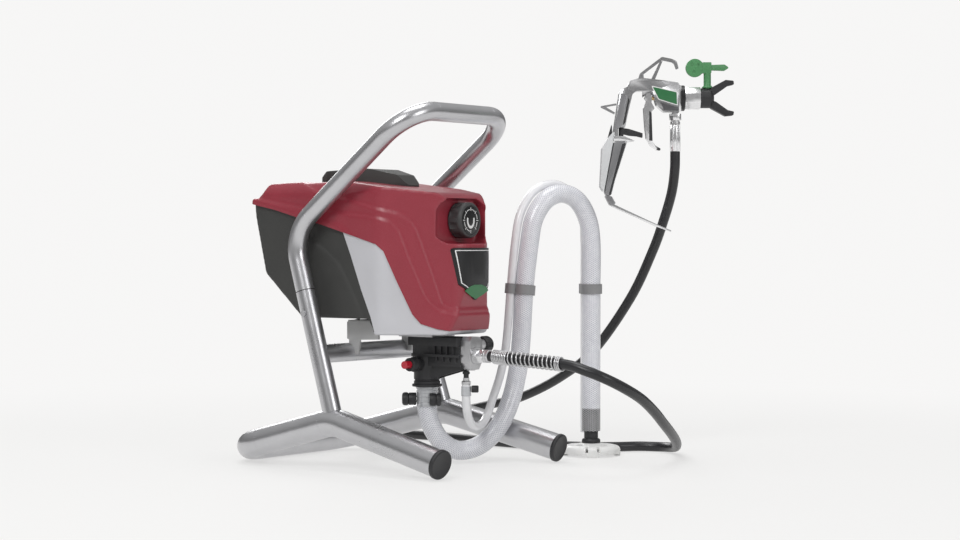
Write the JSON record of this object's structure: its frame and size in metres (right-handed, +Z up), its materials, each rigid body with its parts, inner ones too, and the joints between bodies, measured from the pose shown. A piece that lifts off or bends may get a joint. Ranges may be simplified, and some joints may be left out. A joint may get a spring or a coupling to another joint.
{
  "type": "airless paint sprayer",
  "caption": "stand-mounted airless paint sprayer with piston pump, suction hose, spray hose and trigger gun",
  "frame": {"origin": "on the floor, in the mid-plane of the stand, below the feet of the two posts", "axes": "+Z up, -Y the front with the pressure knob, +X the side on which the suction hose and gun lie"},
  "size_m": [0.4949, 0.5408, 0.489],
  "materials": {
    "satin_tube": "satin silver finish",
    "black_cap": "moulded black plastic",
    "bracket_paint": "grey powder coat",
    "red_shell": "satin red moulding",
    "silver_shell": "satin silver moulding",
    "grey_shell": "textured dark grey moulding",
    "badge_black": "gloss black plate",
    "knob_grey": "grey rubberised plastic",
    "zinc_steel": "zinc plated",
    "circuit": "circuit board",
    "cast_metal": "die cast",
    "motor_steel": "plain steel",
    "brush_carbon": "carbon",
    "gear_steel": "machined",
    "bronze": "sintered bronze",
    "seal": "white packing",
    "pump_black": "black moulded pump block",
    "red_button": "red button",
    "nickel": "nickel plated",
    "clear_hose": "braided clear hose",
    "clip_grey": "grey clip",
    "white_foot": "white moulding",
    "hose_black": "black hose",
    "gun_metal": "polished casting",
    "grip_grey": "light grey grip",
    "guard_black": "black plastic",
    "tip_green": "green plastic"
  },
  "bodies": {
    "root": {"base_tube": "satin_tube", "foot_caps": "black_cap", "lower_post_right": "satin_tube", "lower_post_left": "satin_tube", "cross_tube": "satin_tube", "mounting_bracket": "bracket_paint", "handle_hoop": "satin_tube", "front_cover": "red_shell", "side_band": "silver_shell", "rear_cover": "grey_shell", "top_cap": "grey_shell", "badge_plate": "badge_black", "knob_bezel": "red_shell", "cover_screws": "zinc_steel", "control_pot": "circuit", "control_board": "circuit", "cord_gland": "black_cap", "motor_can": "motor_steel", "motor_end_bell": "cast_metal", "motor_brushes": "brush_carbon", "drive_housing": "cast_metal", "shaft_bearings": "bronze", "piston_packing": "seal", "pump_block": "pump_black", "inlet_housing": "pump_black", "inlet_ball": "zinc_steel", "outlet_manifold": "cast_metal", "return_nipple": "nickel", "hose_clamps": "black_cap", "suction_hose": "clear_hose", "return_tube": "clear_hose", "hose_clips": "clip_grey", "strainer_neck": "black_cap", "strainer_foot": "white_foot", "hose_nut": "zinc_steel", "spring_guard": "zinc_steel", "spray_hose": "hose_black", "hose_sleeve": "zinc_steel"},
    "motor_rotor": {"motor_rotor": "motor_steel", "drive_pinion": "gear_steel"},
    "crank": {"crank_gear": "gear_steel", "crank_shaft": "zinc_steel"},
    "piston": {"yoke": "zinc_steel", "piston_rod": "zinc_steel"},
    "pressure_knob": {"pressure_knob": "knob_grey"},
    "prime_knob": {"prime_knob": "black_cap"},
    "inlet_pusher": {"pusher_button": "red_button"},
    "power_switch": {"power_switch": "black_cap"},
    "snap_right": {"snap_button_right": "satin_tube"},
    "snap_left": {"snap_button_left": "satin_tube"},
    "spray_gun": {"gun_body": "gun_metal", "gun_grip": "grip_grey", "gun_nozzle": "nickel", "finger_guard": "nickel"},
    "trigger": {"trigger": "nickel"},
    "trigger_lock": {"trigger_lock": "guard_black"},
    "needle": {"gun_needle": "bronze"},
    "tip_guard": {"tip_guard": "guard_black"},
    "spray_tip": {"spray_tip": "tip_green"}
  },
  "joints": [
    {"name": "motor_spin", "type": "hinge", "parent": "root", "child": "motor_rotor", "pos_m": [0, 0.05, 0.25775], "axis": [0, -1, 0], "continuous": true},
    {"name": "crank_spin", "type": "hinge", "parent": "root", "child": "crank", "pos_m": [0, -0.02, 0.214], "axis": [0, -1, 0], "continuous": true},
    {"name": "piston_stroke", "type": "slide", "parent": "root", "child": "piston", "axis": [0, 0, 1], "range_m": [-0.008, 0.008]},
    {"name": "pressure_turn", "type": "hinge", "parent": "root", "child": "pressure_knob", "pos_m": [0, -0.1, 0.288], "axis": [0, -1, 0], "range_deg": [0, 270]},
    {"name": "prime_turn", "type": "hinge", "parent": "root", "child": "prime_knob", "pos_m": [0.02, -0.1185, 0.143], "axis": [1, 0, 0], "range_deg": [0, 90]},
    {"name": "pusher_press", "type": "slide", "parent": "root", "child": "inlet_pusher", "axis": [1, 0, 0], "range_m": [0, 0.004], "stiffness_N_per_m": 400},
    {"name": "switch_rock", "type": "hinge", "parent": "root", "child": "power_switch", "pos_m": [0.045, 0.13653, 0.26843], "axis": [1, 0, 0], "range_deg": [-10, 10]},
    {"name": "snap_right_press", "type": "slide", "parent": "root", "child": "snap_right", "axis": [1, 0, 0], "range_m": [0, 0.0025], "stiffness_N_per_m": 600},
    {"name": "snap_left_press", "type": "slide", "parent": "root", "child": "snap_left", "axis": [-1, 0, 0], "range_m": [0, 0.0025], "stiffness_N_per_m": 600},
    {"name": "gun_swivel", "type": "hinge", "parent": "root", "child": "spray_gun", "pos_m": [0.25, -0.244, 0.414], "axis": [0, 0, -1], "range_deg": [-100, 10]},
    {"name": "lock_turn", "type": "hinge", "parent": "spray_gun", "child": "trigger_lock", "pos_m": [0.21139, -0.19047, 0.398], "axis": [0, 0, 1], "range_deg": [0, 90]},
    {"name": "trigger_pull", "type": "hinge", "parent": "spray_gun", "child": "trigger", "pos_m": [0.23011, -0.21642, 0.441], "axis": [0.8111, 0.585, 0], "range_deg": [0, 18]},
    {"name": "needle_draw", "type": "slide", "parent": "spray_gun", "child": "needle", "axis": [-0.585, 0.8111, 0], "range_m": [0, 0.0015]},
    {"name": "guard_turn", "type": "hinge", "parent": "spray_gun", "child": "tip_guard", "pos_m": [0.26755, -0.26833, 0.438], "axis": [0.585, -0.8111, 0], "range_deg": [0, 90]},
    {"name": "tip_reverse", "type": "hinge", "parent": "tip_guard", "child": "spray_tip", "pos_m": [0.27281, -0.27563, 0.438], "axis": [0, 0, 1], "range_deg": [0, 180]}
  ],
  "couplings": [
    {"joint": "crank_spin", "follows": "motor_spin", "ratio": -0.25},
    {"joint": "lock_turn", "follows": "trigger_pull", "ratio": 5},
    {"joint": "needle_draw", "follows": "trigger_pull", "m_per_rad": 0.0047747}
  ]
}
